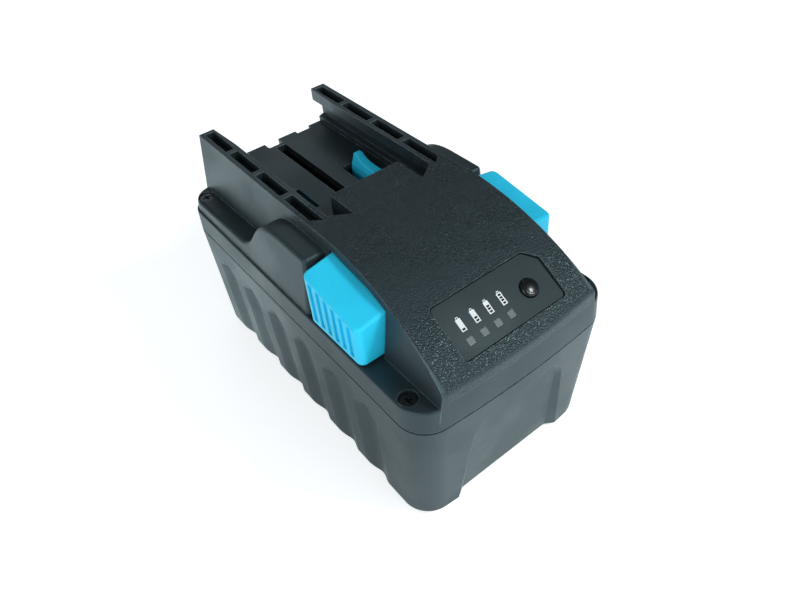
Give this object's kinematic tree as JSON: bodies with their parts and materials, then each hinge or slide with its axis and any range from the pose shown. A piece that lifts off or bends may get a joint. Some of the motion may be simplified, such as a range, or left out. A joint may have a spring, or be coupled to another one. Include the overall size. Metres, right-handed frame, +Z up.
{
  "type": "power tool battery pack",
  "caption": "Slide-on battery pack: fluted case, two open rails, crowned roof with a charge gauge, sprung side release buttons, round cells inside.",
  "frame": {"origin": "on the flat underside, below the middle of the row of cells, half way across the pack", "axes": "+X to the pack's right seen from the gauge end, +Y towards the open end of the rails, +Z up"},
  "size_m": [0.081, 0.1451, 0.0872],
  "materials": {
    "case_plastic": "satin moulded, fine leather grain on the roof",
    "blue_plastic": "semi-gloss moulded",
    "spring_steel": "drawn wire",
    "panel_plastic": "smooth satin",
    "window_plastic": "smoked diffusing plastic",
    "button_plastic": "soft gloss",
    "black_steel": "black oxide",
    "cell_sleeve": "shrink sleeve",
    "nickel": "nickel plated",
    "frame_plastic": "moulded",
    "insulating_card": "fibre card",
    "board_laminate": "solder mask",
    "aluminium": "milled",
    "led_resin": "moulded lens",
    "black_resin": "moulded resin"
  },
  "bodies": {
    "pack": {"board_screws": "black_steel", "case_screws": "black_steel", "cell_01": "cell_sleeve", "cell_02": "cell_sleeve", "cell_03": "cell_sleeve", "cell_04": "cell_sleeve", "cell_05": "cell_sleeve", "cell_06": "cell_sleeve", "cell_07": "cell_sleeve", "cell_08": "cell_sleeve", "cell_09": "cell_sleeve", "cell_10": "cell_sleeve", "cell_11": "cell_sleeve", "cell_12": "cell_sleeve", "cell_13": "cell_sleeve", "cell_14": "cell_sleeve", "cell_holder_left": "frame_plastic", "cell_holder_right": "frame_plastic", "contact_1": "nickel", "contact_2": "nickel", "contact_3": "nickel", "contact_4": "nickel", "control_chip": "black_resin", "end_insulator_left": "insulating_card", "end_insulator_right": "insulating_card", "gauge_board": "board_laminate", "gauge_button_spring": "spring_steel", "gauge_leds": "led_resin", "gauge_panel": "panel_plastic", "gauge_ribbon": "black_resin", "gauge_screws": "black_steel", "gauge_switch": "black_resin", "heat_spreader": "aluminium", "lead_negative": "nickel", "lead_positive": "nickel", "led_window_1": "window_plastic", "led_window_2": "window_plastic", "led_window_3": "window_plastic", "led_window_4": "window_plastic", "lower_case": "case_plastic", "main_board": "board_laminate", "nickel_left_1": "nickel", "nickel_left_2": "nickel", "nickel_left_3": "nickel", "nickel_left_4": "nickel", "nickel_right_1": "nickel", "nickel_right_2": "nickel", "nickel_right_3": "nickel", "nickel_right_4": "nickel", "power_transistors": "black_resin", "release_spring_left": "spring_steel", "release_spring_right": "spring_steel", "terminal_block": "black_resin", "thermistor": "black_resin", "upper_case": "case_plastic"},
    "left_release": {"release_latch_left": "blue_plastic"},
    "right_release": {"release_latch_right": "blue_plastic"},
    "gauge_key": {"gauge_button": "button_plastic"}
  },
  "joints": [
    {"name": "left_release_slide", "type": "slide", "parent": "pack", "child": "left_release", "axis": [1, 0, 0], "range_m": [0, 0.0025], "stiffness_N_per_m": 1500, "springref_m": -0.004, "deforming": ["release_spring_left"]},
    {"name": "right_release_slide", "type": "slide", "parent": "pack", "child": "right_release", "axis": [-1, 0, 0], "range_m": [0, 0.0025], "stiffness_N_per_m": 1500, "springref_m": -0.004, "deforming": ["release_spring_right"]},
    {"name": "gauge_key_press", "type": "slide", "parent": "pack", "child": "gauge_key", "axis": [0, 0.5177, -0.8555], "range_m": [0, 0.0004], "stiffness_N_per_m": 2500, "springref_m": -0.0004, "deforming": ["gauge_button_spring"]}
  ]
}
